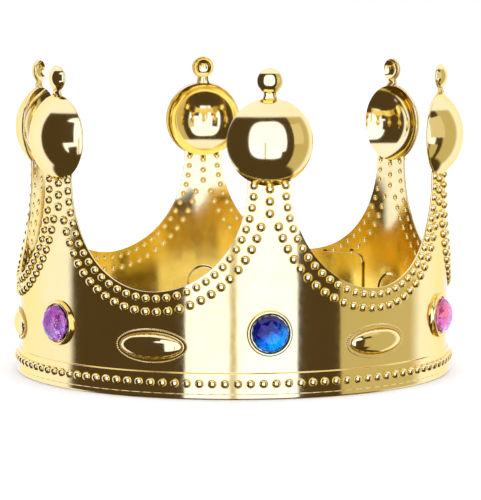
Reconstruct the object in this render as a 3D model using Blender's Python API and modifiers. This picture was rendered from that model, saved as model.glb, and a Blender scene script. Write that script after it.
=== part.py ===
"""Dress-up crown: one moulded plastic strip rolled into a ring, six acrylic gems and two studs.

Metres, +Z up. The origin is the centre of the ring on its bottom plane, and the front point
faces -Y. The strip is modelled flat, as it leaves its mould, touching the ring at its front: X
runs along it, Z is up and -Y is outward. A bend then rolls it into the ring, so that X becomes
the way round, anticlockwise seen from above. Its ends lap at the back right, where two studs
hold them together.
"""
import math

import bmesh
import bpy
from mathutils import Matrix

# Ring
RING_RADIUS = 0.0935         # outer face of the wall
POINTS = 6
WALL = 0.0010
FIT_GAP = 0.0003             # clearance between neighbouring pieces

# Hem along the bottom edge
HEM_HEIGHT = 0.0105
HEM_RELIEF = 0.0008          # how far the hem stands out from the wall
LIP_HEIGHT = 0.00185
LIP_RELIEF = 0.0013

# Scalloped top edge
VALLEY_HEIGHT = 0.04265      # lowest point of the edge, half way between two points
SCALLOP_DEPTH = 0.04335      # from there up to where the edge turns vertical
STEM_HALF_WIDTH = 0.0090
STEM_STRAIGHT = 0.0026       # upright part of the stem, below the dome

# Dome and ball on each point, both hollow at the back
DOME_RADIUS = 0.0176
DOME_RELIEF = 0.0097
BALL_RADIUS = 0.00513
BALL_RELIEF = 0.0028
BALL_WALL = 0.0009
NECK_WIDTH = 0.0052
NECK_LENGTH = 0.00177
RIM_STEP = 0.0003            # straight edge of a dome or ball, in front of the wall
RIM_SETBACK = 0.0002         # and behind it

# Gem and the raised setting that holds it, below each point
GEM_RADIUS = 0.0075
GEM_HEIGHT = 0.0266          # centre, above the bottom edge
GEM_GIRDLE = 0.0008
GEM_CROWN = 0.0030
GEM_TABLE_SHARE = 0.50       # radius of the flat top, as a share of the gem's
FOIL_THICKNESS = 0.0002
SETTING_LIP = 0.00145        # width of the rim round the gem
SETTING_RELIEF = 0.0018
POCKET_FLOOR = 0.0006        # height of the gem's seat above the wall's outer face

# Oval boss below each valley, except where the ends lap
BOSS_LENGTH = 0.0315
BOSS_HEIGHT = 0.0142
BOSS_CENTRE = 0.0209
BOSS_RELIEF = 0.0008
CABOCHON_LENGTH = 0.0270
CABOCHON_HEIGHT = 0.0102
CABOCHON_RELIEF = 0.0030

# Closure: a tongue on the left end reaches behind the right end
SEAM_SHIFT = 0.0050          # from the middle of the lap valley to the right end's edge
TONGUE_REACH = 0.0371
TONGUE_FOOT = 0.0030
TONGUE_HEADROOM = 0.0007     # below the valley's edge
ROOT_START = 0.0025          # from the seam to where the tongue joins the left end
ROOT_LENGTH = 0.0075
STUD_SETBACK = 0.0116        # from the seam to the line of studs
STUD_HEIGHTS = (0.0140, 0.0220)
STUD_RADIUS = 0.0014
STUD_HEAD_RADIUS = 0.0030
STUD_HEAD = 0.0011
STUD_TIP = 0.0014            # how far a stud passes the tongue
SIZE_HOLE_COLUMNS = 3
SIZE_HOLE_PITCH = 0.0067

# Fineness of the round shapes
COLUMNS_PER_POINT = 18
SCALLOP_STEPS = 24
DOME_STEPS = 24
DOME_RINGS = 4
BALL_STEPS = 12
BALL_RINGS = 2
SETTING_STEPS = 22
BOSS_STEPS = 22
BOSS_RINGS = 2
GEM_FACETS = 16
STUD_STEPS = 12

# Sizes that follow from those above
PITCH = 2 * math.pi * RING_RADIUS / POINTS
STEM_TOP = VALLEY_HEIGHT + SCALLOP_DEPTH + STEM_STRAIGHT
DOME_CENTRE = STEM_TOP + math.sqrt(DOME_RADIUS ** 2 - STEM_HALF_WIDTH ** 2)
BALL_CENTRE = DOME_CENTRE + DOME_RADIUS + NECK_LENGTH + BALL_RADIUS
LAP_VALLEY = 2.5 * PITCH
SEAM = LAP_VALLEY + SEAM_SHIFT
FIRST_POINT = 3 - POINTS
LAST_POINT = 2
LEFT_END = SEAM - POINTS * PITCH + FIT_GAP
TONGUE_END = SEAM - POINTS * PITCH - TONGUE_REACH
TONGUE_FACE = WALL + FIT_GAP
GEM_SEAT = POCKET_FLOOR + FOIL_THICKNESS + 2 * FIT_GAP
POCKET_RADIUS = GEM_RADIUS + FIT_GAP
SETTING_RADIUS = POCKET_RADIUS + SETTING_LIP
HOLE_RADIUS = STUD_RADIUS + FIT_GAP
MARGIN = 0.0010              # how far a cutter reaches past what it cuts
MERGE_DISTANCE = 0.00001     # vertices closer than this are one

GEM_COLOURS = {
    "front": (0.02, 0.09, 0.80),
    "front_right": (0.95, 0.16, 0.42),
    "back_right": (0.02, 0.45, 0.12),
    "back": (0.70, 0.01, 0.03),
    "back_left": (0.95, 0.42, 0.02),
    "front_left": (0.45, 0.03, 0.62),
}


def new_collection(name, parent):
    collection = bpy.data.collections.new(name)
    parent.children.link(collection)
    return collection


def new_material(name, colour, roughness, metallic):
    material = bpy.data.materials.new(name)
    material.use_nodes = True
    shader = material.node_tree.nodes["Principled BSDF"]
    shader.inputs["Base Color"].default_value = (*colour, 1.0)
    shader.inputs["Roughness"].default_value = roughness
    shader.inputs["Metallic"].default_value = metallic
    return material


def on_strip(along, height, lift=0):
    """Placement on the flat strip: local Z points outward, local X along it."""
    place = Matrix.Translation((along, -RING_RADIUS - lift, height))
    return place @ Matrix.Rotation(math.pi / 2, 4, "X")


def on_ring(azimuth, height):
    """The same placement once the strip is rolled; azimuth 0 is the front."""
    return Matrix.Rotation(azimuth, 4, "Z") @ on_strip(0, height)


def turned(name, profile, steps, placement, collection, smooth=True):
    """A body turned about its local Z, from a profile that runs down its outer side."""
    mesh = bpy.data.meshes.new(name)
    edges = [(i, i + 1) for i in range(len(profile) - 1)]
    mesh.from_pydata([(radius, 0, height) for radius, height in profile], edges, [])
    body = bpy.data.objects.new(name, mesh)
    screw = body.modifiers.new("turn", "SCREW")
    screw.steps = steps
    screw.render_steps = steps
    screw.use_merge_vertices = True
    screw.merge_threshold = MERGE_DISTANCE
    screw.use_smooth_shade = smooth
    body.matrix_world = placement
    collection.objects.link(body)
    return body


def block(name, low, high, placement, collection):
    """A box between two corners of its local frame."""
    bm = bmesh.new()
    bmesh.ops.create_cube(bm, size=1)
    size = [b - a for a, b in zip(low, high)]
    centre = [(a + b) / 2 for a, b in zip(low, high)]
    bmesh.ops.scale(bm, verts=bm.verts, vec=size)
    bmesh.ops.translate(bm, verts=bm.verts, vec=centre)
    mesh = bpy.data.meshes.new(name)
    bm.to_mesh(mesh)
    bm.free()
    body = bpy.data.objects.new(name, mesh)
    body.matrix_world = placement
    collection.objects.link(body)
    return body


def change(target, group, operation):
    """Join or cut the target with every body of a group, which is then left out of the part."""
    modifier = target.modifiers.new(group.name, "BOOLEAN")
    modifier.operation = operation
    modifier.solver = "EXACT"
    modifier.operand_type = "COLLECTION"
    modifier.collection = group
    for tool in group.objects:
        tool.hide_render = True
        tool.display_type = "WIRE"


def arc(radius, centre, start, stop, rings):
    """Points on a circle about the axis, between two angles above the horizontal."""
    angles = [start + (stop - start) * i / rings for i in range(rings + 1)]
    return [(radius * math.cos(a), centre + radius * math.sin(a)) for a in angles]


def cap_profile(radius, relief, rings, back):
    """A spherical cap on a round base, with a straight rim behind it."""
    sphere = (radius ** 2 + relief ** 2) / (2 * relief)
    centre = relief - sphere
    shell = arc(sphere, centre, math.pi / 2, math.asin(-centre / sphere), rings)
    return [(0, relief)] + shell[1:] + [(radius, -back), (0, -back)]


def hollow_profile(radius, relief, wall, rings, back):
    """The space inside the same cap, out past its back."""
    sphere = (radius ** 2 + relief ** 2) / (2 * relief)
    centre = relief - sphere
    inner = sphere - wall
    shell = arc(inner, centre, math.pi / 2, math.asin((-back - centre) / inner), rings)
    return [(0, centre + inner)] + shell[1:] + [(0, -back)]


def disc_profile(radius, top, bottom):
    return [(0, top), (radius, top), (radius, bottom), (0, bottom)]


def point_positions():
    return [k * PITCH for k in range(FIRST_POINT, LAST_POINT + 1)]


def boss_positions():
    return [along + PITCH / 2 for along in point_positions()[:-1]]


def even_steps(start, stop, count):
    return [start + (stop - start) * i / count for i in range(count + 1)]


def swept(name, outline, stations):
    """A closed bar: a (depth, height) outline carried along X through the stations."""
    bm = bmesh.new()
    first = bm.faces.new([bm.verts.new((stations[0], depth, height)) for depth, height in outline])
    end = first
    for before, after in zip(stations, stations[1:]):
        grown = bmesh.ops.extrude_face_region(bm, geom=[end])["geom"]
        moved = [item for item in grown if isinstance(item, bmesh.types.BMVert)]
        bmesh.ops.translate(bm, verts=moved, vec=(after - before, 0, 0))
        if end is not first:
            bmesh.ops.delete(bm, geom=[end], context="FACES_ONLY")
        end = next(item for item in grown if isinstance(item, bmesh.types.BMFace))
    bmesh.ops.recalc_face_normals(bm, faces=bm.faces)
    mesh = bpy.data.meshes.new(name)
    bm.to_mesh(mesh)
    bm.free()
    return mesh


def strip_blank():
    """Wall and hem as one outline, carried along X in equal columns."""
    outline = [
        (-LIP_RELIEF, 0),
        (-LIP_RELIEF, LIP_HEIGHT),
        (-HEM_RELIEF, LIP_HEIGHT),
        (-HEM_RELIEF, HEM_HEIGHT),
        (0, HEM_HEIGHT),
        (0, STEM_TOP + MARGIN),
        (WALL, STEM_TOP + MARGIN),
        (WALL, 0),
    ]
    columns = POINTS * COLUMNS_PER_POINT
    return swept("crown_band", outline, even_steps(LEFT_END, SEAM, columns))


def scallop_tools(group):
    """Each valley is a half ellipse with an open box above it."""
    half_width = PITCH / 2 - STEM_HALF_WIDTH
    top = STEM_TOP + 2 * MARGIN
    centre = VALLEY_HEIGHT + SCALLOP_DEPTH
    for k in range(FIRST_POINT - 1, LAST_POINT + 1):
        place = on_strip((k + 0.5) * PITCH, centre)
        through = disc_profile(half_width, LIP_RELIEF + MARGIN, -WALL - MARGIN)
        valley = turned("valley", through, 2 * SCALLOP_STEPS, place, group)
        valley.scale = (1, SCALLOP_DEPTH / half_width, 1)
        low = (-half_width, 0, -WALL - MARGIN)
        high = (half_width, top - centre, LIP_RELIEF + MARGIN)
        block("valley_mouth", low, high, place, group)


def dome_tools(solid, hollow):
    """Solid domes, balls and necks, and the hollows that open their backs."""
    back = RIM_STEP + WALL + RIM_SETBACK
    past = back + MARGIN
    dome_rise = DOME_RELIEF - RIM_STEP
    ball_rise = BALL_RELIEF - RIM_STEP
    dome = cap_profile(DOME_RADIUS, dome_rise, DOME_RINGS, back)
    dome_hollow = hollow_profile(DOME_RADIUS, dome_rise, WALL, DOME_RINGS, past)
    ball = cap_profile(BALL_RADIUS, ball_rise, BALL_RINGS, back)
    ball_hollow = hollow_profile(BALL_RADIUS, ball_rise, BALL_WALL, BALL_RINGS, past)
    neck_low = (-NECK_WIDTH / 2, DOME_RADIUS - 2 * WALL, -RIM_STEP - WALL)
    neck_high = (NECK_WIDTH / 2, BALL_CENTRE - DOME_CENTRE - BALL_RADIUS / 2, -RIM_STEP / 2)
    for along in point_positions():
        dome_place = on_strip(along, DOME_CENTRE, RIM_STEP)
        ball_place = on_strip(along, BALL_CENTRE, RIM_STEP)
        turned("dome", dome, DOME_STEPS, dome_place, solid)
        turned("ball", ball, BALL_STEPS, ball_place, solid)
        block("neck", neck_low, neck_high, dome_place, solid)
        turned("dome_hollow", dome_hollow, DOME_STEPS, dome_place, hollow)
        turned("ball_hollow", ball_hollow, BALL_STEPS, ball_place, hollow)


def setting_tools(solid, hollow):
    """Raised rim and floor for each gem, and the recess behind the floor."""
    setting = [
        (0, POCKET_FLOOR),
        (POCKET_RADIUS, POCKET_FLOOR),
        (POCKET_RADIUS, SETTING_RELIEF),
        (SETTING_RADIUS, SETTING_RELIEF),
        (SETTING_RADIUS, -WALL / 2),
        (0, -WALL / 2),
    ]
    recess = disc_profile(GEM_RADIUS, POCKET_FLOOR - WALL, -WALL - MARGIN)
    for along in point_positions():
        place = on_strip(along, GEM_HEIGHT)
        turned("setting", setting, SETTING_STEPS, place, solid)
        turned("setting_recess", recess, SETTING_STEPS, place, hollow)


def boss_tools(solid, hollow):
    """Oval plates with a rounded oval on them, hollow behind."""
    plate = disc_profile(BOSS_LENGTH / 2, BOSS_RELIEF, -WALL / 2)
    half_length = CABOCHON_LENGTH / 2
    half_height = CABOCHON_HEIGHT / 2
    seat = BOSS_RELIEF / 2
    cabochon = cap_profile(half_length, CABOCHON_RELIEF - seat, BOSS_RINGS, seat + WALL / 2)
    inside_rise = CABOCHON_RELIEF - WALL / 2
    inside = cap_profile(half_length - WALL, inside_rise, BOSS_RINGS, WALL / 2 + MARGIN)
    for along in boss_positions():
        plate_place = on_strip(along, BOSS_CENTRE)
        plate_body = turned("boss_plate", plate, BOSS_STEPS, plate_place, solid)
        plate_body.scale = (1, BOSS_HEIGHT / BOSS_LENGTH, 1)
        cabochon_place = on_strip(along, BOSS_CENTRE, seat)
        cabochon_body = turned("cabochon", cabochon, BOSS_STEPS, cabochon_place, solid)
        cabochon_body.scale = (1, half_height / half_length, 1)
        hollow_place = on_strip(along, BOSS_CENTRE, -WALL / 2)
        hollow_body = turned("cabochon_hollow", inside, BOSS_STEPS, hollow_place, hollow)
        hollow_body.scale = (1, (half_height - WALL) / (half_length - WALL), 1)


def closure_tools(solid, holes):
    """The tongue with its root, and the stud holes in both ends."""
    top = VALLEY_HEIGHT - TONGUE_HEADROOM
    root = LEFT_END + ROOT_START
    stop = root + ROOT_LENGTH
    back = TONGUE_FACE + WALL
    outline = [(TONGUE_FACE, TONGUE_FOOT), (TONGUE_FACE, top), (back, top), (back, TONGUE_FOOT)]
    stations = even_steps(TONGUE_END, stop, COLUMNS_PER_POINT)
    tongue = bpy.data.objects.new("tongue", swept("tongue", outline, stations))
    tongue.location = (0, -RING_RADIUS, 0)
    solid.objects.link(tongue)
    low = (root, TONGUE_FOOT + WALL, -TONGUE_FACE - WALL / 2)
    high = (stop - WALL, top - WALL, -WALL / 2)
    block("tongue_root", low, high, on_strip(0, 0), solid)
    hole = disc_profile(HOLE_RADIUS, MARGIN, -back - MARGIN)
    left_studs = SEAM - POINTS * PITCH - STUD_SETBACK
    places = [SEAM - STUD_SETBACK]
    places += [left_studs - i * SIZE_HOLE_PITCH for i in range(SIZE_HOLE_COLUMNS)]
    for along in places:
        for height in STUD_HEIGHTS:
            turned("stud_hole", hole, STUD_STEPS, on_strip(along, height), holes)


def make_band(material):
    band = bpy.data.objects.new("crown_band", strip_blank())
    band.data.materials.append(material)
    band.location = (0, -RING_RADIUS, 0)
    parts.objects.link(band)
    scallops = new_collection("scallops", tools)
    raised = new_collection("raised", tools)
    hollows = new_collection("hollows", tools)
    scallop_tools(scallops)
    for make_tools in (dome_tools, setting_tools, boss_tools, closure_tools):
        make_tools(raised, hollows)
    change(band, scallops, "DIFFERENCE")
    change(band, raised, "UNION")
    change(band, hollows, "DIFFERENCE")
    weld = band.modifiers.new("weld", "WELD")
    weld.merge_threshold = MERGE_DISTANCE
    roll = band.modifiers.new("roll", "SIMPLE_DEFORM")
    roll.deform_method = "BEND"
    roll.deform_axis = "Z"
    roll.angle = (SEAM - TONGUE_END) / RING_RADIUS
    return band


def make_gems():
    """A gem and its foil backing in each setting."""
    table = GEM_SEAT + GEM_GIRDLE + GEM_CROWN
    chamfer = GEM_GIRDLE / 4
    gem = [
        (0, table),
        (GEM_RADIUS * GEM_TABLE_SHARE, table),
        (GEM_RADIUS, GEM_SEAT + GEM_GIRDLE),
        (GEM_RADIUS, GEM_SEAT + chamfer),
        (GEM_RADIUS - chamfer, GEM_SEAT),
        (0, GEM_SEAT),
    ]
    foil_face = POCKET_FLOOR + FIT_GAP
    foil = disc_profile(GEM_RADIUS - FIT_GAP, foil_face + FOIL_THICKNESS, foil_face)
    silver = new_material("foil", (0.92, 0.92, 0.94), 0.08, 1.0)
    for k, (place_name, colour) in enumerate(GEM_COLOURS.items()):
        place = on_ring(k * 2 * math.pi / POINTS, GEM_HEIGHT)
        stone = turned("gem_" + place_name, gem, GEM_FACETS, place, parts, smooth=False)
        stone.data.materials.append(new_material("acrylic_" + place_name, colour, 0.03, 0.0))
        backing = turned("foil_" + place_name, foil, GEM_FACETS, place, parts, smooth=False)
        backing.data.materials.append(silver)


def make_studs(material):
    """Snap studs through both ends; each slides out along its own axis."""
    inner_end = -(TONGUE_FACE + WALL + STUD_TIP)
    edge = STUD_HEAD / 3
    stud = [
        (0, FIT_GAP + STUD_HEAD),
        (STUD_HEAD_RADIUS - 2 * edge, FIT_GAP + STUD_HEAD),
        (STUD_HEAD_RADIUS, FIT_GAP + edge),
        (STUD_HEAD_RADIUS, FIT_GAP),
        (STUD_RADIUS, FIT_GAP),
        (STUD_RADIUS, inner_end + edge),
        (STUD_RADIUS - edge, inner_end),
        (0, inner_end),
    ]
    azimuth = (SEAM - STUD_SETBACK) / RING_RADIUS
    for name, height in zip(("closure_stud_lower", "closure_stud_upper"), STUD_HEIGHTS):
        peg = turned(name, stud, STUD_STEPS, on_ring(azimuth, height), parts)
        peg.data.materials.append(material)


for item in list(bpy.data.objects):
    bpy.data.objects.remove(item)
parts = new_collection("crown", bpy.context.scene.collection)
tools = new_collection("crown_tools", bpy.context.scene.collection)
gold = new_material("gold_plastic", (0.90, 0.62, 0.18), 0.16, 1.0)
make_band(gold)
make_gems()
make_studs(gold)
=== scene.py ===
import math

import bmesh
import bpy
import numpy as np
from mathutils import Matrix, Vector
from mathutils.geometry import delaunay_2d_cdt


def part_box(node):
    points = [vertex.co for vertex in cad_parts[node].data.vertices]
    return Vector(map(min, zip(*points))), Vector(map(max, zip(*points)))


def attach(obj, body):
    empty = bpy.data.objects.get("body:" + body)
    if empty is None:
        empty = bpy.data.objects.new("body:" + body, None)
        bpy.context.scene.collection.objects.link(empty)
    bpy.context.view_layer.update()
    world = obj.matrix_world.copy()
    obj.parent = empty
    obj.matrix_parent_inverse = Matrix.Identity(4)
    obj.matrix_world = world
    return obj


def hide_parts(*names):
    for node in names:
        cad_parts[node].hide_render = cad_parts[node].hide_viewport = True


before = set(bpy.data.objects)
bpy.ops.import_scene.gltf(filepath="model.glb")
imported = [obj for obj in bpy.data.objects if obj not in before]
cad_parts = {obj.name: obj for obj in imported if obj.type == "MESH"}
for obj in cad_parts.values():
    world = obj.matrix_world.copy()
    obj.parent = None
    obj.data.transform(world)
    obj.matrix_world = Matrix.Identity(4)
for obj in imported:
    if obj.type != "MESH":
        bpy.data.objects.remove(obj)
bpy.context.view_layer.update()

# --- sizes in millimetres; the main ones are the CAD model's -----------------------------------
MM = 0.001
RADIUS = 93.5                # outer face of the wall
POINTS = 6
PITCH = 2 * math.pi * RADIUS / POINTS
HALF = PITCH / 2
WALL = 1.0
VALLEY = 42.65
SCALLOP = 43.35
SHOULDER = VALLEY + SCALLOP
STEM = 9.0                   # half width
STEM_STRAIGHT = 2.6
STEM_TOP = SHOULDER + STEM_STRAIGHT
DOME = 17.6
DOME_RISE = 9.4
DOME_Z = STEM_TOP + math.sqrt(DOME ** 2 - STEM ** 2)
BALL = 5.13
BALL_RISE = 2.7
NECK_LENGTH = 1.77
BALL_Z = DOME_Z + DOME + NECK_LENGTH + BALL
RIM_STEP = 0.3               # dome and ball edges stand this far in front of the wall
NECK = 2.4                   # half width at the top
NECK_FLARE = 3.2             # and at the dome
NECK_RISE = 1.5
NECK_WALL = 0.95
NECK_START = DOME_Z + DOME - 1.0   # neck relief above this height
FLARE_TOP = DOME_Z + DOME + 1.6    # the neck widens from here down
FLARE_LENGTH = 2.2
HEM = 10.5
HEM_RELIEF = 0.8
LIP = 1.85
LIP_RELIEF = 1.3
GEM = 7.5
GEM_Z = 26.6
SETTING = 9.4
SETTING_RELIEF = 1.8
POCKET = 7.8
POCKET_FLOOR = 0.6
BOSS_Z = 20.9
BOSS = (15.75, 7.1)          # half length and half height of the whole oval
CABOCHON = (13.5, 5.1)
CABOCHON_RISE = 3.0
PLATE_LIP = 0.45            # relief of the oval plate at its edge
PLATE_FLOOR = 0.25          # and beside the middle oval
TRACK_INSET = 0.45          # from the plate's edge to the milled beads
TRACK_BEAD = 0.34
PLATE_EDGE = 0.97           # share of the oval at which the lip begins
SEAM_SHIFT = 5.0             # lap edge, past the middle of the lap valley
SEAM_GAP = 0.3
FLATTEN_START = 64.0         # height at which a point begins to leave the ring's curve
FLATTEN_LENGTH = 22.0
GEM_RECESS = 0.45            # hollow behind a gem's seat
FOIL_THICKNESS = 0.06
STUD_SETBACK = 11.6          # from the lap edge to the studs
TONGUE_REACH = 37.1
TONGUE_HEADROOM = 0.7
TONGUE_FOOT = 3.0
TONGUE_CORNER = 4.0
ROOT_START = 2.5
ROOT_LENGTH = 7.5
ROOT_SLOPE = 3.0             # length over which the tongue steps back
ROOT_RISE = 0.8
SIZE_HOLE_COLUMNS = 3
SIZE_HOLE_PITCH = 6.7
EDGE_ROW = (2.5, 1.8, 4.5)   # inset from the edge, bead radius, pitch
SECOND_ROW = (7.9, 2.0, 4.9)
SECOND_ROW_TOP = 70.5
HEM_ROW_Z = 6.2
HEM_BEAD = 1.88
HEM_BEADS = 19               # to a point
COLUMN_BEAD = 1.95
COLUMN_HEIGHTS = (75.0, 79.9, 84.9)
BEAD_RISE = 0.92             # height over base radius
CELL = 2.3                   # size of the triangles on the plain wall
ROW_SHARE = 0.866            # height of a row of them, as a share of their size
HOLE_STEPS = 20
TINY = 1e-6


# --- relief of the flat pattern ---------------------------------------------------------------
def ring_points(s, z, a, b, count):
    """Points on an upright oval of half length a and half height b, from its top round."""
    return [(s + a * math.sin(2 * math.pi * k / count),
             z + b * math.cos(2 * math.pi * k / count)) for k in range(count)]


class Cap:
    """A round dome of spherical section; hollow inside is the same cap, smaller."""

    def __init__(self, s, z, radius, rise, base=0.0, rings=4, steps=16, inner=None, name="bead"):
        self.s, self.z, self.radius, self.rise, self.base = s, z, radius, rise, base
        self.rings, self.steps, self.name = rings, steps, name
        self.inner_radius, self.inner_rise = inner or (radius * 0.74, rise * 0.74)

    def distance(self, s, z):
        return np.hypot(s - self.s, z - self.z) / self.radius

    def cap(self, d, radius, rise):
        sphere = (radius ** 2 + rise ** 2) / (2 * rise)
        return np.sqrt(np.maximum(sphere ** 2 - d ** 2, 1e-9)) - (sphere - rise)

    def outer(self, s, z):
        d = np.hypot(s - self.s, z - self.z)
        return self.base + self.cap(np.minimum(d, self.radius * 1.02), self.radius, self.rise)

    def inner(self, s, z):
        d = np.hypot(s - self.s, z - self.z) * self.inner_radius / self.radius
        return -WALL + self.cap(d, self.inner_radius, self.inner_rise)

    def squeeze(self, s, z):
        """Where a pattern point lies on the inner face: the hollow is narrower than the cap."""
        k = self.inner_radius / self.radius
        return self.s + (s - self.s) * k, self.z + (z - self.z) * k

    def points(self):
        sphere = (self.radius ** 2 + self.rise ** 2) / (2 * self.rise)
        widest = math.asin(min(1.0, self.radius / sphere))
        rings = []
        for i in range(1, self.rings + 1):
            r = sphere * math.sin(widest * i / self.rings)
            n = max(8, round(self.steps * (0.45 + 0.55 * i / self.rings) / 2) * 2)
            if i == self.rings:
                r, n = self.radius, self.steps
            rings.append(ring_points(self.s, self.z, r, r, n))
        return rings, [(self.s, self.z)]


class Setting:
    """Raised rounded rim round a gem, with the floor of its pocket."""
    name = "setting"

    def __init__(self, s, z):
        self.s, self.z = s, z
        self.middle = (SETTING + POCKET) / 2
        self.tube = (SETTING - POCKET) / 2 - 0.08

    def distance(self, s, z):
        return np.hypot(s - self.s, z - self.z) / (SETTING + 0.1)

    def outer(self, s, z):
        d = np.hypot(s - self.s, z - self.z)
        rest = SETTING_RELIEF - self.tube
        lip = rest + np.sqrt(np.maximum(self.tube ** 2 - (d - self.middle) ** 2, 0))
        outside = rest * np.clip((SETTING + 0.1 - d) / 0.18, 0, 1)
        inside = POCKET_FLOOR + (rest - POCKET_FLOOR) * np.clip((d - POCKET + 0.1) / 0.18, 0, 1)
        within = np.where(d < self.middle - self.tube, inside, lip)
        return np.where(d > self.middle + self.tube, outside, within)

    def inner(self, s, z):
        d = np.hypot(s - self.s, z - self.z)
        return -WALL + GEM_RECESS * smooth((GEM + 0.5 - d) / 1.1)

    def squeeze(self, s, z):
        return s, z

    def points(self):
        low, high = self.middle - self.tube, self.middle + self.tube
        radii = [SETTING + 0.1, high, high - 0.1, high - 0.35, self.middle, low + 0.35, low + 0.1,
                 low, GEM + 0.1, GEM - 0.3, GEM - 0.6, 5.0, 2.6]
        n = 56
        rings = []
        for r in reversed(radii):
            m = n if r > 6 else 24
            rings.append(ring_points(self.s, self.z, r, r, m))
        return rings, [(self.s, self.z)]


class Boss:
    """Oval plate with a thin lip, a milled track and a rounded oval in the middle."""
    name = "boss"

    def __init__(self, s, z):
        self.s, self.z = s, z

    def distance(self, s, z):
        return np.hypot((s - self.s) / BOSS[0], (z - self.z) / BOSS[1])

    def cabochon(self, s, z):
        return np.hypot((s - self.s) / CABOCHON[0], (z - self.z) / CABOCHON[1])

    def outer(self, s, z):
        u = self.cabochon(s, z)
        v = self.distance(s, z)
        track = (1 - v) / np.maximum((1 - v) + np.maximum(u - 1, 0) * 0.72, 1e-6)
        lip = PLATE_LIP * np.clip((1 - v) / (1 - PLATE_EDGE), 0, 1)
        step_down = (PLATE_LIP - PLATE_FLOOR) * np.clip(track, 0, 1)
        plate = np.where(v > PLATE_EDGE, lip, PLATE_LIP - step_down)
        oval = PLATE_FLOOR + (CABOCHON_RISE - PLATE_FLOOR) * np.sqrt(np.maximum(1 - u ** 2, 0))
        return np.where(u < 1, oval, plate)

    def inner(self, s, z):
        u = np.hypot((s - self.s) / (CABOCHON[0] - 0.8), (z - self.z) / (CABOCHON[1] - 0.8))
        return -WALL + (CABOCHON_RISE - 0.2) * np.sqrt(np.maximum(1 - u ** 2, 0))

    def squeeze(self, s, z):
        return s, z

    def points(self):
        n = 64
        shells = [(CABOCHON[0] * u, CABOCHON[1] * u) for u in
                  (0.16, 0.32, 0.48, 0.62, 0.74, 0.84, 0.92, 0.97, 1.0)]
        for q in (0.35, 0.7):
            shells.append(tuple(c + (b - c) * q for b, c in zip(BOSS, CABOCHON)))
        shells.append((BOSS[0] * PLATE_EDGE, BOSS[1] * PLATE_EDGE))
        shells.append(BOSS)
        rings = []
        for a, b in shells:
            m = n if a > 7 else 32
            rings.append(ring_points(self.s, self.z, a, b, m))
        return rings, [(self.s, self.z)]


class Wall:
    """The plain sheet, with the hem, and the half-round neck between dome and ball."""
    name = "wall"

    def outer(self, s, z):
        lip = HEM_RELIEF + (LIP_RELIEF - HEM_RELIEF) * smooth((LIP + 0.35 - z) / 0.45)
        hem = np.where(z < HEM / 2, lip, HEM_RELIEF) * smooth((HEM + 0.25 - z) / 0.6)
        hem = hem - 0.35 * smooth((0.4 - z) / 0.5)
        neck = NECK_RISE * np.sqrt(np.maximum(1 - (s / (neck_width(z) + 0.15)) ** 2, 0))
        return np.where(z > NECK_START, neck, hem)

    def inner(self, s, z):
        return np.where(z > NECK_START, self.outer(s, z) - NECK_WALL, -WALL)

    def squeeze(self, s, z):
        return s, z


def smooth(t):
    t = np.clip(t, 0, 1)
    return t * t * (3 - 2 * t)


wall = Wall()


# --- the flat pattern of half a point, from its middle to the valley --------------------------
class Pattern:
    """Points and fixed edges of a flat outline, cut into triangles."""

    def __init__(self):
        self.points, self.edges, self.index = [], [], {}

    def add(self, s, z):
        key = (round(s, 4), round(z, 4))
        if key not in self.index:
            self.index[key] = len(self.points)
            self.points.append((s, z))
        return self.index[key]

    def chain(self, path, closed=False):
        ids = [self.add(s, z) for s, z in path]
        pairs = list(zip(ids, ids[1:])) + ([(ids[-1], ids[0])] if closed else [])
        self.edges += [pair for pair in pairs if pair[0] != pair[1]]

    def cut_outlines(self, holes):
        for s, z, radius in holes:
            self.chain(ring_points(s, z, radius, radius, HOLE_STEPS), closed=True)

    def fill(self, candidates, room):
        """Free points that keep their distance from everything placed before them."""
        fixed = np.array(self.points)
        for s, z in candidates:
            if np.min(np.hypot(fixed[:, 0] - s, fixed[:, 1] - z)) > room:
                self.add(s, z)

    def triangles(self):
        result = delaunay_2d_cdt([Vector(p) for p in self.points], self.edges, [], 1, 1e-6)
        points = np.array([tuple(v) for v in result[0]])
        return points, np.array([tuple(f) for f in result[2]])


def ellipse_point(turn, inset=0.0):
    """On the scalloped edge; turn is 0 at the valley and 90 degrees beside the stem."""
    a = HALF - STEM + inset
    b = SCALLOP + inset
    return HALF - a * math.sin(turn), SHOULDER - b * math.cos(turn)


def edge_height(s):
    return SHOULDER - SCALLOP * math.sqrt(max(0.0, 1 - ((HALF - s) / (HALF - STEM)) ** 2))


def row(inset, pitch):
    """Centres along the edge, a pitch apart, the first half a pitch from the valley."""
    turns = np.linspace(0, math.pi / 2 + 0.05, 800)
    path = np.array([ellipse_point(t, inset) for t in turns])
    run = np.concatenate([[0], np.cumsum(np.hypot(*np.diff(path, axis=0).T))])
    places = np.arange(pitch / 2, run[-1], pitch)
    return list(zip(np.interp(places, run, path[:, 0]), np.interp(places, run, path[:, 1])))


def beads(reach):
    """Every bead of half a point, those past the valley included where the half reaches on."""
    found = []
    for inset, radius, pitch in (EDGE_ROW, SECOND_ROW):
        for s, z in row(inset, pitch):
            if inset == SECOND_ROW[0] and z > SECOND_ROW_TOP:
                continue
            for place in (s, 2 * HALF - s):
                if place + radius < reach + 0.2:
                    found.append(Cap(place, z, radius, radius * BEAD_RISE, rings=3, steps=18))
    spacing = PITCH / HEM_BEADS
    for k in range(HEM_BEADS):
        s = (k + 0.5) * spacing
        if s + HEM_BEAD < reach + 0.2 or abs(s - reach) < TINY:
            found.append(Cap(s, HEM_ROW_Z, HEM_BEAD, HEM_BEAD * BEAD_RISE, HEM_RELIEF, 3, 20,
                             inner=(HEM_BEAD * 0.8, HEM_BEAD)))
    for z in COLUMN_HEIGHTS:
        found.append(Cap(0, z, COLUMN_BEAD, COLUMN_BEAD * BEAD_RISE, rings=3, steps=20))
    return found


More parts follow.
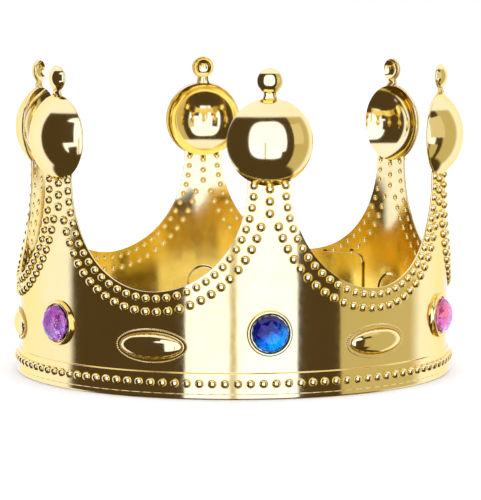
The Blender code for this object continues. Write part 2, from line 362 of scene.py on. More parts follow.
def neck_width(z):
    return NECK + (NECK_FLARE - NECK) * np.clip((FLARE_TOP - z) / FLARE_LENGTH, 0, 1) ** 2


def without_holes(points, triangles, holes):
    centre = points[triangles].mean(axis=1)
    keep = np.ones(len(triangles), bool)
    for s, z, radius in holes:
        keep &= np.hypot(centre[:, 0] - s, centre[:, 1] - z) > radius
    return triangles[keep]


def half_point(reach, boss=True, holes=()):
    """Outline, features and free points of half a point; returns points, triangles, regions."""
    pattern = Pattern()
    dome = Cap(0, DOME_Z, DOME, DOME_RISE, RIM_STEP, 16, 96,
               inner=(DOME - 0.6, DOME_RISE - 0.2), name="dome")
    ball = Cap(0, BALL_Z, BALL, BALL_RISE, RIM_STEP, 8, 40,
               inner=(BALL - 0.45, BALL_RISE - 0.1), name="ball")
    features = beads(reach) + [Setting(0, GEM_Z)]
    if boss:
        features.append(Boss(HALF, BOSS_Z))

    joint = NECK_FLARE
    for _ in range(8):
        joint = float(neck_width(DOME_Z + math.sqrt(DOME ** 2 - joint ** 2)))
    stem_turn = math.asin(STEM / DOME)
    neck_turn = math.pi - math.asin(joint / DOME)
    ball_turn = math.asin(NECK / BALL)

    def circle(cap, start, stop, count):
        turns = [start + (stop - start) * i / count for i in range(count + 1)]
        return [(cap.radius * math.sin(t), cap.z - cap.radius * math.cos(t)) for t in turns]

    turns = np.linspace(-math.asin((reach - HALF) / (HALF - STEM)), math.pi / 2, 52)
    edge = [ellipse_point(t) for t in turns]
    edge[0] = (reach, edge[0][1])
    stem = [(STEM, SHOULDER + (STEM_TOP - SHOULDER) * i / 2) for i in range(3)]
    dome_side = circle(dome, stem_turn, neck_turn, 34)
    neck_heights = np.linspace(dome_side[-1][1], BALL_Z - math.sqrt(BALL ** 2 - NECK ** 2), 6)
    neck = [(float(neck_width(z)), float(z)) for z in neck_heights]
    neck[0] = dome_side[-1]
    ball_side = circle(ball, ball_turn, math.pi, 16)
    neck[-1] = ball_side[0]
    pattern.chain(edge)
    pattern.chain(stem)
    pattern.chain([stem[-1]] + dome_side[1:])
    pattern.chain(circle(dome, 0, stem_turn, 8)[:-1] + [stem[-1]])
    pattern.chain(circle(dome, neck_turn, math.pi, 3))
    pattern.chain(neck)
    pattern.chain(ball_side)
    pattern.chain(circle(ball, 0, ball_turn, 3))

    def keep(s):
        return -TINY <= s <= reach + TINY

    for feature in features:
        rings, free = feature.points()
        for ring, path in enumerate(rings):
            kept = [(min(max(s, 0.0), reach), z) if keep(s) else None for s, z in path]
            last = ring == len(rings) - 1 or feature.name != "bead"
            for a, b in zip(kept, kept[1:] + kept[:1]):
                if a and b and last:
                    pattern.chain([a, b])
                elif a:
                    pattern.add(*a)
        for s, z in free:
            if keep(s):
                pattern.add(s, z)
    for cap in (dome, ball):
        rings, free = cap.points()
        for path in rings[:-1]:
            for s, z in path:
                if s > -TINY:
                    pattern.add(max(s, 0.0), z)
        pattern.add(*free[0])
    pattern.cut_outlines(holes)

    columns = 20
    across = [reach * k / columns for k in range(columns + 1)]
    for z in (0.0, 0.12, 0.28, 0.45, 1.5, 1.72, 1.95, 2.2, 9.5, 10.1, 10.3, 10.5, 10.78):
        for s in across:
            pattern.add(s, z)
    levels = [HEM + 0.4 + k * CELL for k in range(60)]
    pattern.fill([(0.0, z) for z in levels if z < STEM_TOP - 4], 0.6 * CELL)
    pattern.fill([(reach, z) for z in levels if z < edge_height(reach) - 0.6], 0.5 * CELL)
    neck_levels = np.arange(DOME_Z + DOME, BALL_Z - BALL, 0.6)
    pattern.fill([(s, z) for s in (0.0, 0.8, 1.5, 2.0) for z in neck_levels], 0.35)
    spots = []
    for i in range(int(STEM_TOP / (CELL * ROW_SHARE)) + 1):
        for j in range(int(reach / CELL) + 1):
            s = (j + 0.5 * (i % 2)) * CELL
            z = i * CELL * ROW_SHARE
            top = DOME_Z - math.sqrt(DOME ** 2 - s ** 2) if s < STEM else edge_height(s)
            if 0.8 < s < reach - 0.8 and 2.6 < z < top - 0.8 and not 8.4 < z < 11.2:
                inside = any(f.distance(s, z) < 1.12 for f in features)
                if not inside and all(math.hypot(s - x, z - y) > r + 0.6 for x, y, r in holes):
                    spots.append((s, z))
    pattern.fill(spots, 0.42 * CELL)

    for line in (0.0, reach):
        column = sorted((p for p in pattern.points if abs(p[0] - line) < 1e-5), key=lambda p: p[1])
        pattern.chain(column)
    pattern.chain(sorted(p for p in pattern.points if abs(p[1]) < TINY))

    points, triangles = pattern.triangles()
    triangles = without_holes(points, triangles, holes)
    centre = points[triangles].mean(axis=1)
    shapes = [wall] + features + [dome, ball]
    region = np.zeros(len(triangles), int)
    for number, shape in enumerate(shapes[1:], 1):
        region[shape.distance(centre[:, 0], centre[:, 1]) < 1.0] = number
    return points, triangles, region, shapes


# --- from the flat pattern to the ring --------------------------------------------------------
def place(s, z, h):
    """The strip rolled to the ring; towards the dome a point flattens into its tangent plane."""
    bend = (1 - smooth((z - FLATTEN_START) / FLATTEN_LENGTH)) / RADIUS
    angle = bend * s
    half = np.sinc(angle / 2 / math.pi)
    out = RADIUS - 0.5 * bend * s ** 2 * half ** 2 + h * np.cos(angle)
    x = s * np.sinc(angle / math.pi) + h * np.sin(angle)
    return np.stack([x, -out, z + 0 * s], axis=-1)


def face_point(shape, s, z, inner):
    if inner:
        s2, z2 = shape.squeeze(s, z)
        return place(s2, z2, shape.inner(s, z))
    return place(s, z, shape.outer(s, z))


def face_normal(shape, s, z, inner):
    e = 0.01
    along = face_point(shape, s + e, z, inner) - face_point(shape, s - e, z, inner)
    up = face_point(shape, s, z + e, inner) - face_point(shape, s, z - e, inner)
    normal = np.cross(along, up)
    normal /= np.maximum(np.linalg.norm(normal, axis=1, keepdims=True), 1e-12)
    return -normal if inner else normal


def shell(points, triangles, region, shapes, joined):
    """Both faces of the sheet and its rounded free edges; joined lists the s of open edges."""
    rank = np.full(len(points), -1)
    owner = np.zeros(len(points), int)
    for number in np.unique(region):
        used = np.unique(triangles[region == number])
        owner[used[rank[used] < number]] = number
        rank[used] = np.maximum(rank[used], number)
    outer = np.zeros((len(points), 3))
    inner = np.zeros((len(points), 3))
    for number in np.unique(owner):
        mine = owner == number
        outer[mine] = face_point(shapes[number], points[mine, 0], points[mine, 1], False)
        inner[mine] = face_point(shapes[number], points[mine, 0], points[mine, 1], True)

    positions = [outer, inner]
    faces = [triangles, triangles[:, ::-1] + len(points)]
    normals = []
    for is_inner in (False, True):
        order = triangles[:, ::-1] if is_inner else triangles
        block = np.zeros((len(triangles), 3, 3))
        for number in np.unique(region):
            mine = region == number
            corner = points[order[mine]]
            across, up = corner[..., 0].ravel(), corner[..., 1].ravel()
            flat = face_normal(shapes[number], across, up, is_inner)
            block[mine] = flat.reshape(-1, 3, 3)
        normals.append(block)

    count = {}
    for a, b, c in triangles:
        for pair in ((a, b), (b, c), (c, a)):
            key = (min(pair), max(pair))
            count[key] = None if key in count else pair
    free = [pair for pair in count.values() if pair]
    free = [(a, b) for a, b in free
            if not any(abs(points[a, 0] - s) < 1e-4 and abs(points[b, 0] - s) < 1e-4 for s in joined)]
    lean = np.zeros((len(points), 2))
    for a, b in free:
        step = points[b] - points[a]
        away = np.array([step[1], -step[0]]) / max(np.hypot(*step), 1e-9)
        lean[a] += away
        lean[b] += away
    rim = sorted({v for pair in free for v in pair})
    for v in rim:
        if any(abs(points[v, 0] - s) < 1e-4 for s in joined):
            lean[v, 0] = 0
        lean[v] /= max(np.hypot(*lean[v]), 1e-9)
    steps = (0.0, 45.0, 90.0, 135.0, 180.0)
    edge_out = 0.22
    rows = {}
    base = 2 * len(points)
    added = []
    for v in rim:
        s, z = points[v]
        side = (place(s + lean[v, 0], z + lean[v, 1], 0.0) - place(s, z, 0.0)).ravel()
        side /= np.linalg.norm(side)
        depth = outer[v] - inner[v]
        depth /= np.linalg.norm(depth)
        line = []
        for number, angle in enumerate(steps):
            c, w = math.cos(math.radians(angle)), math.sin(math.radians(angle))
            spot = (outer[v] + inner[v]) / 2 + (outer[v] - inner[v]) / 2 * c + side * edge_out * w
            added.append(spot)
            line.append((base + len(added) - 1, side * w + depth * c))
        rows[v] = line
    quads, quad_normals = [], []
    for a, b in free:
        for k in range(len(steps) - 1):
            corners = [rows[a][k], rows[a][k + 1], rows[b][k + 1], rows[b][k]]
            quads.append([corner[0] for corner in corners])
            quad_normals.append([corner[1] for corner in corners])
    return {
        "positions": np.vstack(positions + [np.array(added).reshape(-1, 3)]),
        "triangles": np.vstack(faces),
        "triangle_normals": np.concatenate(normals).reshape(-1, 3, 3),
        "quads": np.array(quads).reshape(-1, 4),
        "quad_normals": np.array(quad_normals).reshape(-1, 4, 3),
    }


def turned_copy(part, azimuth, mirror=False):
    """The same shell at another point of the ring, or its mirror half."""
    matrix = spin_matrix(azimuth)
    if mirror:
        matrix = matrix @ np.diag([-1.0, 1.0, 1.0])
    flip = slice(None, None, -1) if mirror else slice(None)
    return {
        "positions": part["positions"] @ matrix.T,
        "triangles": part["triangles"][:, flip],
        "triangle_normals": (part["triangle_normals"] @ matrix.T)[:, flip],
        "quads": part["quads"][:, flip],
        "quad_normals": (part["quad_normals"] @ matrix.T)[:, flip],
    }


def build_mesh(name, parts):
    """One mesh from shells in millimetres, welded where they meet, with its own normals."""
    start, positions, faces, normals = 0, [], [], []
    for part in parts:
        positions.append(part["positions"])
        faces += (part["triangles"] + start).tolist() + (part["quads"] + start).tolist()
        normals += [part["triangle_normals"].reshape(-1, 3), part["quad_normals"].reshape(-1, 3)]
        start += len(part["positions"])
    positions = np.vstack(positions)
    normals = np.vstack(normals)
    _, first, same = np.unique(np.round(positions, 4), axis=0,
                               return_index=True, return_inverse=True)
    same = same.ravel()
    clean, clean_normals, loop = [], [], 0
    for face in faces:
        ids = [int(same[v]) for v in face]
        if len(set(ids)) == len(ids):
            clean.append(ids)
            clean_normals.append(normals[loop:loop + len(face)])
        elif len(set(ids)) == 3 and len(ids) == 4:
            keep = [i for i in range(4) if ids[i] != ids[i - 1]]
            clean.append([ids[i] for i in keep])
            clean_normals.append(normals[loop:loop + 4][keep])
        loop += len(face)
    mesh = bpy.data.meshes.new(name)
    mesh.from_pydata((positions[first] * MM).tolist(), [], clean)
    mesh.shade_smooth()
    flat = np.vstack(clean_normals)
    flat /= np.maximum(np.linalg.norm(flat, axis=1, keepdims=True), 1e-9)
    mesh.normals_split_custom_set(flat.tolist())
    return mesh


def new_piece(name, mesh, material):
    piece = bpy.data.objects.new(name, mesh)
    mesh.materials.append(material)
    bpy.context.scene.collection.objects.link(piece)
    return piece


# --- materials --------------------------------------------------------------------------------
def new_material(name, colour, roughness, metallic):
    material = bpy.data.materials.new(name)
    material.use_nodes = True
    nodes, links = material.node_tree.nodes, material.node_tree.links
    shader = nodes["Principled BSDF"]
    shader.inputs["Base Color"].default_value = (*colour, 1.0)
    shader.inputs["Roughness"].default_value = roughness
    shader.inputs["Metallic"].default_value = metallic
    return material, nodes, links, shader


def noise(nodes, links, scale, detail=3.0):
    place_node = nodes.new("ShaderNodeTexCoord")
    texture = nodes.new("ShaderNodeTexNoise")
    texture.inputs["Scale"].default_value = scale
    texture.inputs["Detail"].default_value = detail
    links.new(place_node.outputs["Object"], texture.inputs["Vector"])
    return texture


def ramp(nodes, links, source, stops):
    node = nodes.new("ShaderNodeValToRGB")
    elements = node.color_ramp.elements
    while len(elements) > 1:
        elements.remove(elements[-1])
    elements[0].position, elements[0].color = stops[0][0], (*stops[0][1], 1.0)
    for position, colour in stops[1:]:
        element = elements.new(position)
        element.color = (*colour, 1.0)
    links.new(source, node.inputs["Fac"])
    return node


def gold_plastic():
    """Vacuum-metallised gold on moulded plastic: bright, with the faint waviness of the moulding."""
    material, nodes, links, shader = new_material("gold_metallised", (0.95, 0.76, 0.24), 0.07, 1.0)
    shader.inputs["Specular Tint"].default_value = (1.0, 0.86, 0.45, 1.0)
    tint = noise(nodes, links, 38.0)
    colours = ramp(nodes, links, tint.outputs["Fac"],
                   [(0.30, (0.93, 0.73, 0.21)), (0.70, (0.97, 0.79, 0.27))])
    links.new(colours.outputs["Color"], shader.inputs["Base Color"])
    wear = noise(nodes, links, 420.0, 6.0)
    rough = nodes.new("ShaderNodeMapRange")
    rough.inputs["To Min"].default_value = 0.05
    rough.inputs["To Max"].default_value = 0.15
    links.new(wear.outputs["Fac"], rough.inputs["Value"])
    links.new(rough.outputs["Result"], shader.inputs["Roughness"])
    wave = noise(nodes, links, 55.0, 2.0)
    bump = nodes.new("ShaderNodeBump")
    bump.inputs["Strength"].default_value = 0.10
    bump.inputs["Distance"].default_value = 0.0006
    links.new(wave.outputs["Fac"], bump.inputs["Height"])
    links.new(bump.outputs["Normal"], shader.inputs["Normal"])
    return material


def acrylic(name, deep, bright, azimuth):
    """Tinted clear acrylic with painted light: the colour is painted lighter towards one lower side,
    where light would gather, and painted reflections vary the tone a little from cell to cell, as
    facets would.
    """
    material, nodes, links, shader = new_material(name, deep, 0.02, 0.0)
    shader.inputs["Transmission Weight"].default_value = 0.85
    shader.inputs["IOR"].default_value = 1.49
    place_node = nodes.new("ShaderNodeTexCoord")
    # painted light: height and a sideways lean set how much of the lighter tone is painted on
    lean = 0.7
    painted_light_axis = nodes.new("ShaderNodeVectorMath")
    painted_light_axis.operation = "DOT_PRODUCT"
    painted_light_axis.inputs[1].default_value = (-lean * math.cos(azimuth), -lean * math.sin(azimuth), lean)
    links.new(place_node.outputs["Object"], painted_light_axis.inputs[0])
    # painted reflection: cells of slightly different tone stand in for facets mirroring different
    # things
    painted_reflection_cells = nodes.new("ShaderNodeTexVoronoi")
    painted_reflection_cells.inputs["Scale"].default_value = 260.0
    links.new(place_node.outputs["Object"], painted_reflection_cells.inputs["Vector"])
    share = nodes.new("ShaderNodeMapRange")
    share.inputs["From Min"].default_value = (lean * GEM_Z - 0.65 * GEM) * MM
    share.inputs["From Max"].default_value = (lean * GEM_Z + 0.35 * GEM) * MM
    links.new(painted_light_axis.outputs["Value"], share.inputs["Value"])
    painted_light_and_reflection = nodes.new("ShaderNodeMix")
    painted_light_and_reflection.inputs["Factor"].default_value = 0.45
    links.new(share.outputs["Result"], painted_light_and_reflection.inputs["A"])
    links.new(painted_reflection_cells.outputs["Color"], painted_light_and_reflection.inputs["B"])
    # painted light: the bright tone on the low lit side, the stone's deep tint above
    colours = ramp(nodes, links, painted_light_and_reflection.outputs["Result"], [(0.34, bright), (0.64, deep)])
    links.new(colours.outputs["Color"], shader.inputs["Base Color"])
    return material


def foil_silver():
    material, nodes, links, shader = new_material("foil_silver", (0.9, 0.9, 0.93), 0.08, 1.0)
    crinkle = noise(nodes, links, 900.0, 2.0)
    rough = nodes.new("ShaderNodeMapRange")
    rough.inputs["To Min"].default_value = 0.05
    rough.inputs["To Max"].default_value = 0.16
    links.new(crinkle.outputs["Fac"], rough.inputs["Value"])
    links.new(rough.outputs["Result"], shader.inputs["Roughness"])
    return material


GOLD = gold_plastic()
FOIL = foil_silver()
# each stone: its own deep tint, then a lighter tone painted on as light gathering at one lower side
GEMS = {
    "front": ((0.020, 0.012, 0.24), (0.00, 0.60, 1.00)),
    "front_right": ((0.92, 0.16, 0.30), (1.00, 0.50, 0.54)),
    "back_right": ((0.01, 0.30, 0.08), (0.08, 0.80, 0.30)),
    "back": ((0.45, 0.005, 0.02), (0.95, 0.05, 0.07)),
    "back_left": ((0.75, 0.20, 0.01), (1.00, 0.60, 0.08)),
    "front_left": ((0.50, 0.06, 0.42), (0.94, 0.54, 0.84)),
}


# --- the band ---------------------------------------------------------------------------------
SPACING = math.radians(360 / POINTS)
LAP_POINT = 2                # the lap is in the valley past this point
SEAM = (LAP_POINT + 0.5) * PITCH + SEAM_SHIFT
STUD_ARC = SEAM - STUD_SETBACK
TONGUE_END = 3 * PITCH - SEAM + TONGUE_REACH
STUD_HEIGHTS = [sum(corner[2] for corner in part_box(node)) / 2 / MM
                for node in ("closure_stud_lower", "closure_stud_upper")]
HOLE = 1.7


class Tongue:
    """The inner end of the strip, stepped back behind the other end."""
    name = "tongue"

    def __init__(self, root):
        self.root = root

    def outer(self, s, z):
        return -WALL - SEAM_GAP + ROOT_RISE * smooth((self.root + ROOT_SLOPE - s) / ROOT_SLOPE)

    def inner(self, s, z):
        return self.outer(s, z) - WALL

    def squeeze(self, s, z):
        return s, z


def tongue_shell(reach):
    root = reach - ROOT_START - ROOT_LENGTH
    foot, top, corner = TONGUE_FOOT, VALLEY - TONGUE_HEADROOM, TONGUE_CORNER
    pattern = Pattern()
    outline = [(root, foot), (TONGUE_END - corner, foot)]
    for cz, start in ((foot + corner, -90), (top - corner, 0)):
        for k in range(7):
            turn = math.radians(start + 90 * k / 6)
            along = TONGUE_END - corner + corner * math.cos(turn)
            outline.append((along, cz + corner * math.sin(turn)))
    outline.append((root, top))
    dense = []
    for a, b in zip(outline, outline[1:] + outline[:1]):
        step = (b[0] - a[0], b[1] - a[1])
        n = max(1, int(math.hypot(*step) / CELL))
        dense += [(a[0] + step[0] * k / n, a[1] + step[1] * k / n) for k in range(n)]
    pattern.chain(dense, closed=True)
    first = 3 * PITCH - STUD_ARC
    columns = [first + SIZE_HOLE_PITCH * i for i in range(SIZE_HOLE_COLUMNS)]
    holes = [(s, z, HOLE) for s in columns for z in STUD_HEIGHTS]
    pattern.cut_outlines(holes)
    grid = [(root + 1 + i * CELL, foot + 1 + j * CELL) for i in range(40) for j in range(30)]
    pattern.fill([(s, z) for s, z in grid if s < TONGUE_END - 1.2 and z < top - 1.0
                  and all(math.hypot(s - x, z - y) > r + 0.4 for x, y, r in holes)], 0.45 * CELL)
    points, triangles = pattern.triangles()
    triangles = without_holes(points, triangles, holes)
    return shell(points, triangles, np.zeros(len(triangles), int), [Tongue(root)], ())


def spin_matrix(azimuth):
    c, s = math.cos(azimuth), math.sin(azimuth)
    return np.array([[c, -s, 0], [s, c, 0], [0, 0, 1.0]])


def milled_track(azimuth):
    """The ring of fine beads round an oval."""
    count = 80
    ball = bmesh.new()
    bmesh.ops.create_uvsphere(ball, u_segments=8, v_segments=5, radius=TRACK_BEAD)
    ball_points = np.array([v.co[:] for v in ball.verts])
    ball_faces = [[v.index for v in f.verts] for f in ball.faces]
    ball.free()
    a = BOSS[0] - TRACK_INSET
    b = BOSS[1] - TRACK_INSET
    turns = np.linspace(0, 2 * math.pi, 2000)
    steps = np.hypot(np.diff(a * np.cos(turns)), np.diff(b * np.sin(turns)))
    run = np.concatenate([[0], np.cumsum(steps)])
    positions, faces = [], []
    for distance in np.arange(count) * run[-1] / count:
        turn = float(np.interp(distance, run, turns))
        along = np.array([a * math.cos(turn)])
        up = np.array([BOSS_Z + b * math.sin(turn)])
        centre = place(along, up, PLATE_LIP)[0]
        faces += [[v + len(positions) * len(ball_points) for v in face] for face in ball_faces]
        positions.append(ball_points + centre)
    return np.vstack(positions) @ spin_matrix(azimuth).T, faces


def make_band():
    regular = shell(*half_point(HALF), joined=(0.0, HALF))
    right_reach = HALF + SEAM_SHIFT
    left_reach = HALF - SEAM_SHIFT - SEAM_GAP
    holes = [(STUD_ARC - LAP_POINT * PITCH, z, HOLE) for z in STUD_HEIGHTS]
    lap_right = shell(*half_point(right_reach, boss=False, holes=holes), joined=(0.0,))
    lap_left = shell(*half_point(left_reach, boss=False), joined=(0.0,))
    shells = []
    for k in range(POINTS):
        right = lap_right if k == LAP_POINT else regular
        left = lap_left if k == LAP_POINT + 1 else regular
        shells.append(turned_copy(right, k * SPACING))
        shells.append(turned_copy(left, k * SPACING, mirror=True))
    shells.append(turned_copy(tongue_shell(left_reach), 3 * SPACING, mirror=True))
    band = new_piece("crown_band_metallised", build_mesh("crown_band_metallised", shells), GOLD)
    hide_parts("crown_band")
    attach(band, "band")
    for k in range(POINTS):
        if k == LAP_POINT:
            continue
        positions, faces = milled_track((k + 0.5) * SPACING)
        mesh = bpy.data.meshes.new("milled_rim")
        mesh.from_pydata((positions * MM).tolist(), [], faces)
        mesh.shade_smooth()
        rim = new_piece(f"milled_rim_{k + 1}", mesh, GOLD)
        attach(rim, "band")


# --- gems, foils and studs --------------------------------------------------------------------
def on_ring(azimuth, height):
    spin = Matrix.Rotation(azimuth, 4, "Z")
    return spin @ Matrix.Translation((0, -RADIUS, height)) @ Matrix.Rotation(math.pi / 2, 4, "X")


def gem_mesh(name):
    """A round brilliant's crown on a flat back: table, stars, kites and girdle facets."""
    seat, girdle_low, girdle_high, table = 1.4, 1.7, 2.2, 5.2
    table_radius, star_radius, seat_radius = GEM * 0.52, GEM * 0.80, GEM - 0.35
    star_height = table - 0.92
    bm = bmesh.new()
    for k in range(8):
        turn = math.radians(45 * k)
        kite = turn + math.radians(22.5)
        bm.verts.new((table_radius * math.cos(kite), table_radius * math.sin(kite), table))
        bm.verts.new((star_radius * math.cos(turn), star_radius * math.sin(turn), star_height))
    for k in range(16):
        turn = math.radians(22.5 * k)
        for radius, height in ((GEM, girdle_high), (GEM, girdle_low), (seat_radius, seat)):
            bm.verts.new((radius * math.cos(turn), radius * math.sin(turn), height))
    bmesh.ops.convex_hull(bm, input=bm.verts)
    bmesh.ops.dissolve_limit(bm, angle_limit=0.01, verts=bm.verts, edges=bm.edges)
    mesh = bpy.data.meshes.new(name)
    bm.to_mesh(mesh)
    bm.free()
    return mesh


def foil_mesh(name):
    """Silver foil pressed over the facets of a stone's back."""
    bm = bmesh.new()
    rings = [(GEM * 0.34, 1.22, 0.86), (GEM * 0.68, 0.84, 1.24), (GEM * 0.95, 1.20, 0.92)]
    middle = bm.verts.new((0, 0, 0.84))
    loops = []
    for radius, even, odd in rings:
        loops.append([bm.verts.new((radius * math.cos(math.radians(22.5 * k)),
                                    radius * math.sin(math.radians(22.5 * k)),
                                    odd if k % 2 else even)) for k in range(16)])
    for k in range(16):
        n = (k + 1) % 16
        bm.faces.new((middle, loops[0][k], loops[0][n]))
        for low, high in zip(loops, loops[1:]):
            bm.faces.new((low[k], high[k], high[n]))
            bm.faces.new((low[k], high[n], low[n]))
    bmesh.ops.recalc_face_normals(bm, faces=bm.faces)
    bmesh.ops.solidify(bm, geom=bm.faces[:], thickness=FOIL_THICKNESS)
    mesh = bpy.data.meshes.new(name)
    bm.to_mesh(mesh)
    bm.free()
    return mesh


def make_gems():
    for k, (where, (deep, bright)) in enumerate(GEMS.items()):
        place_matrix = on_ring(k * SPACING, GEM_Z)
        stone = acrylic("acrylic_" + where, deep, bright, k * SPACING)
        for kind, build, material in (("gem", gem_mesh, stone), ("foil", foil_mesh, FOIL)):
            mesh = build(f"{kind}_{where}_cut")
            mesh.transform(place_matrix)
            mesh.transform(Matrix.Scale(MM, 4))
            piece = new_piece(f"{kind}_{where}_cut", mesh, material)
            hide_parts(f"{kind}_{where}")
            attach(piece, "band")


def stud_mesh(name):
    """A snap stud: domed head, straight shank, pointed tip."""
    profile = [(0.0, 1.42), (1.0, 1.38), (1.9, 1.22), (2.6, 0.92), (2.95, 0.55), (2.95, 0.32),
               (1.4, 0.30), (1.4, -3.2), (1.05, -3.7), (0.0, -3.7)]
    bm = bmesh.new()
    steps = 40
    loops = []
    for radius, height in profile:
        if radius == 0:
            loops.append([bm.verts.new((0, 0, height))])
        else:
            loops.append([bm.verts.new((radius * math.cos(2 * math.pi * k / steps),
                                        radius * math.sin(2 * math.pi * k / steps), height))
                          for k in range(steps)])
    for upper, lower in zip(loops, loops[1:]):
        for k in range(steps):
            n = (k + 1) % steps
            ring = [upper[k % len(upper)], lower[k % len(lower)],
                    lower[n % len(lower)], upper[n % len(upper)]]
            bm.faces.new(list(dict.fromkeys(ring)))
    bmesh.ops.recalc_face_normals(bm, faces=bm.faces)
    mesh = bpy.data.meshes.new(name)
    bm.to_mesh(mesh)
    bm.free()
    mesh.shade_smooth()
    mesh.set_sharp_from_angle(angle=math.radians(40))
    return mesh


def make_studs():
    for level, height in zip(("lower", "upper"), STUD_HEIGHTS):
        mesh = stud_mesh(f"stud_{level}_turned")
        mesh.transform(on_ring(STUD_ARC / RADIUS, height))
        mesh.transform(Matrix.Scale(MM, 4))
        piece = new_piece(f"stud_{level}_turned", mesh, GOLD)
        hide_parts(f"closure_stud_{level}")
        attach(piece, f"{level}_stud")


# --- floor, light and camera ------------------------------------------------------------------
CAMERA_AZIMUTH = -9.09       # degrees from the front, towards the left
CAMERA_HEIGHT = 5.82         # degrees above level
CAMERA_DISTANCE = 1.112
CAMERA_LENS = 182.7
CAMERA_AIM = (0.0030, 0.0510)  # to the right of the middle, and above the base


FLOOR_Z = -0.0003            # just under the visual model's lowest edge
CARD_RADIUS = 0.22
CARD_STEPS = 8
CREAM = (1.10, 1.18, 2.30)   # this and white are tinted blue, to offset the gold that mirrors them
WHITE = (1.35, 1.55, 3.60)
TAN = (0.62, 0.56, 0.50)
PALE_TAN = (0.80, 0.76, 0.90)
DARK = (0.080, 0.055, 0.038)


def make_floor():
    mesh = bpy.data.meshes.new("floor")
    bm = bmesh.new()
    bmesh.ops.create_grid(bm, x_segments=1, y_segments=1, size=8.0)
    bm.to_mesh(mesh)
    bm.free()
    material = new_material("floor_white", (0.95, 0.93, 0.87), 0.9, 0.0)[0]
    floor = new_piece("floor", mesh, material)
    floor.location.z = FLOOR_Z
    floor.visible_glossy = False


def make_card(name, start, stop, low, high, colour):
    """An upright studio card, seen only in reflections; start and stop are degrees from camera."""
    bm = bmesh.new()
    columns = []
    for k in range(CARD_STEPS + 1):
        turn = math.radians(start + (stop - start) * k / CARD_STEPS + CAMERA_AZIMUTH)
        x, y = CARD_RADIUS * math.sin(turn), -CARD_RADIUS * math.cos(turn)
        columns.append([bm.verts.new((x, y, z)) for z in (low, high)])
    for left, right in zip(columns, columns[1:]):
        bm.faces.new((left[0], right[0], right[1], left[1]))
    mesh = bpy.data.meshes.new(name)
    bm.to_mesh(mesh)
    bm.free()
    material = bpy.data.materials.new(name)
    material.use_nodes = True
    nodes, links = material.node_tree.nodes, material.node_tree.links
    nodes.clear()
    light = nodes.new("ShaderNodeEmission")
    light.inputs["Color"].default_value = (*colour, 1.0)
    links.new(light.outputs["Emission"], nodes.new("ShaderNodeOutputMaterial").inputs["Surface"])
    card = new_piece(name, mesh, material)
    card.visible_camera = False
    card.visible_diffuse = False
    card.visible_shadow = False
    card.visible_transmission = False


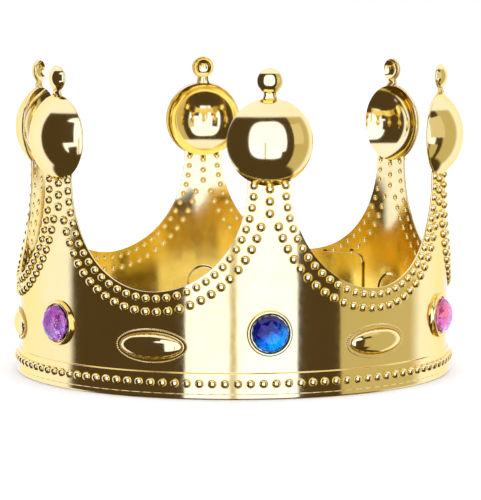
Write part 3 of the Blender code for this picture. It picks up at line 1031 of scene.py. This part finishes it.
def make_world():
    """Surroundings by direction, laid out from the camera's azimuth.

    A soft box in front, dark round it, tan on the right, cream behind and overhead. Diffuse rays
    see an even white, and so does the camera.
    """
    world = bpy.data.worlds.new("studio")
    bpy.context.scene.world = world
    world.use_nodes = True
    nodes, links = world.node_tree.nodes, world.node_tree.links
    nodes.clear()
    place_node = nodes.new("ShaderNodeTexCoord")
    split = nodes.new("ShaderNodeSeparateXYZ")
    links.new(place_node.outputs["Generated"], split.inputs["Vector"])

    def maths(operation, first, second=None):
        node = nodes.new("ShaderNodeMath")
        node.operation = operation
        for socket, value in zip(node.inputs, (first, second)):
            if value is None:
                continue
            if isinstance(value, (int, float)):
                socket.default_value = value
            else:
                links.new(value, socket)
        return node.outputs[0]

    def mix(fac, low, high):
        node = nodes.new("ShaderNodeMix")
        node.data_type = "RGBA"
        links.new(fac, node.inputs["Factor"])
        for socket, value in ((node.inputs["A"], low), (node.inputs["B"], high)):
            if isinstance(value, tuple):
                socket.default_value = (*value, 1.0)
            else:
                links.new(value, socket)
        return node.outputs["Result"]

    def step(value, start, stop):
        node = nodes.new("ShaderNodeMapRange")
        node.interpolation_type = "SMOOTHSTEP"
        node.inputs["From Min"].default_value = start
        node.inputs["From Max"].default_value = stop
        links.new(value, node.inputs["Value"])
        return node.outputs["Result"]

    back = maths("MULTIPLY", split.outputs["Y"], -1.0)
    azimuth = maths("MULTIPLY", maths("ARCTAN2", split.outputs["X"], back), 1 / (2 * math.pi))
    turn = maths("FRACT", maths("ADD", azimuth, 1.5 - CAMERA_AZIMUTH / 360))
    elevation = maths("MULTIPLY", maths("ARCSINE", split.outputs["Z"]), 180 / math.pi)

    def stop(degrees, colour):
        return (degrees / 360 + 0.5, colour)

    around = ramp(nodes, links, turn, [
        stop(-180, CREAM), stop(-97, CREAM), stop(-93, DARK), stop(66, DARK),
        stop(69, TAN), stop(108, TAN), stop(118, CREAM), stop(180, CREAM)])
    box_middle, box_half_width, box_half_height, box_rise = 6.0, 42.5, 41.0, 4.0
    squareness, edge_blur = 3.5, 0.12
    aside = maths("ABSOLUTE", maths("SUBTRACT", turn, box_middle / 360 + 0.5))
    above = maths("ABSOLUTE", maths("SUBTRACT", elevation, box_rise))
    wide = maths("POWER", maths("MULTIPLY", aside, 360 / box_half_width), squareness)
    high = maths("POWER", maths("MULTIPLY", above, 1 / box_half_height), squareness)
    outside = step(maths("ADD", wide, high), 1 - edge_blur, 1 + edge_blur)
    streak = step(maths("ABSOLUTE", maths("SUBTRACT", turn, 0.5)), 2.6 / 360, 0.8 / 360)
    streak = maths("MULTIPLY", streak, step(elevation, 1.0, -2.0))
    window = mix(streak, WHITE, TAN)
    framed = mix(outside, window, around.outputs["Color"])
    walls = mix(step(elevation, -50.0, -44.0), DARK, framed)
    # The direction halfway to the camera is the normal of the metal that mirrors this one there.
    halfway = nodes.new("ShaderNodeVectorMath")
    halfway.operation = "ADD"
    links.new(place_node.outputs["Generated"], halfway.inputs[0])
    a = math.radians(CAMERA_AZIMUTH)
    halfway.inputs[1].default_value = (math.sin(a), -math.cos(a), 0.10)
    level = nodes.new("ShaderNodeVectorMath")
    level.operation = "NORMALIZE"
    links.new(halfway.outputs["Vector"], level.inputs[0])
    tilt = nodes.new("ShaderNodeSeparateXYZ")
    links.new(level.outputs["Vector"], tilt.inputs["Vector"])
    ceiling = step(tilt.outputs["Z"], 0.49, 0.53)
    whole = mix(ceiling, walls, CREAM)
    rays = nodes.new("ShaderNodeLightPath")
    plain = mix(rays.outputs["Is Diffuse Ray"], whole, (1.12, 1.12, 1.12))
    seen = mix(rays.outputs["Is Camera Ray"], plain, (1.0, 1.0, 1.0))
    background = nodes.new("ShaderNodeBackground")
    links.new(seen, background.inputs["Color"])
    links.new(background.outputs["Background"], nodes.new("ShaderNodeOutputWorld").inputs["Surface"])


def make_lights():
    light = bpy.data.lights.new("overhead", "AREA")
    light.energy = 30.0
    light.size = 3.0
    lamp = bpy.data.objects.new("overhead", light)
    lamp.location = (0, 0, 2.2)
    lamp.visible_glossy = False
    lamp.visible_camera = False
    bpy.context.scene.collection.objects.link(lamp)


def make_camera():
    a, e = math.radians(CAMERA_AZIMUTH), math.radians(CAMERA_HEIGHT)
    away = Vector((math.sin(a) * math.cos(e), -math.cos(a) * math.cos(e), math.sin(e)))
    right = Vector((math.cos(a), math.sin(a), 0))
    aim = right * CAMERA_AIM[0] + Vector((0, 0, CAMERA_AIM[1]))
    data = bpy.data.cameras.new("camera")
    data.lens = CAMERA_LENS
    data.sensor_width = 36.0
    data.clip_start = 0.05
    data.clip_end = 50.0
    camera = bpy.data.objects.new("camera", data)
    camera.location = aim + away * CAMERA_DISTANCE
    camera.rotation_mode = "QUATERNION"
    camera.rotation_quaternion = (aim - camera.location).to_track_quat("-Z", "Y")
    bpy.context.scene.collection.objects.link(camera)
    bpy.context.scene.camera = camera


bpy.context.scene.view_settings.view_transform = "Standard"
make_camera()
make_band()
make_gems()
make_studs()
make_floor()
make_card("dark_card_left", -33, -19.6, -0.30, 0.055, DARK)
make_card("dark_card_right", 26.4, 45.6, -0.30, 0.055, DARK)
make_card("tan_card", 45.6, 58, -0.05, 0.055, TAN)
make_card("dark_card_high", -44, -24, 0.078, 0.20, DARK)
make_card("tan_card_high", 45, 68, 0.090, 0.20, PALE_TAN)
make_world()
make_lights()
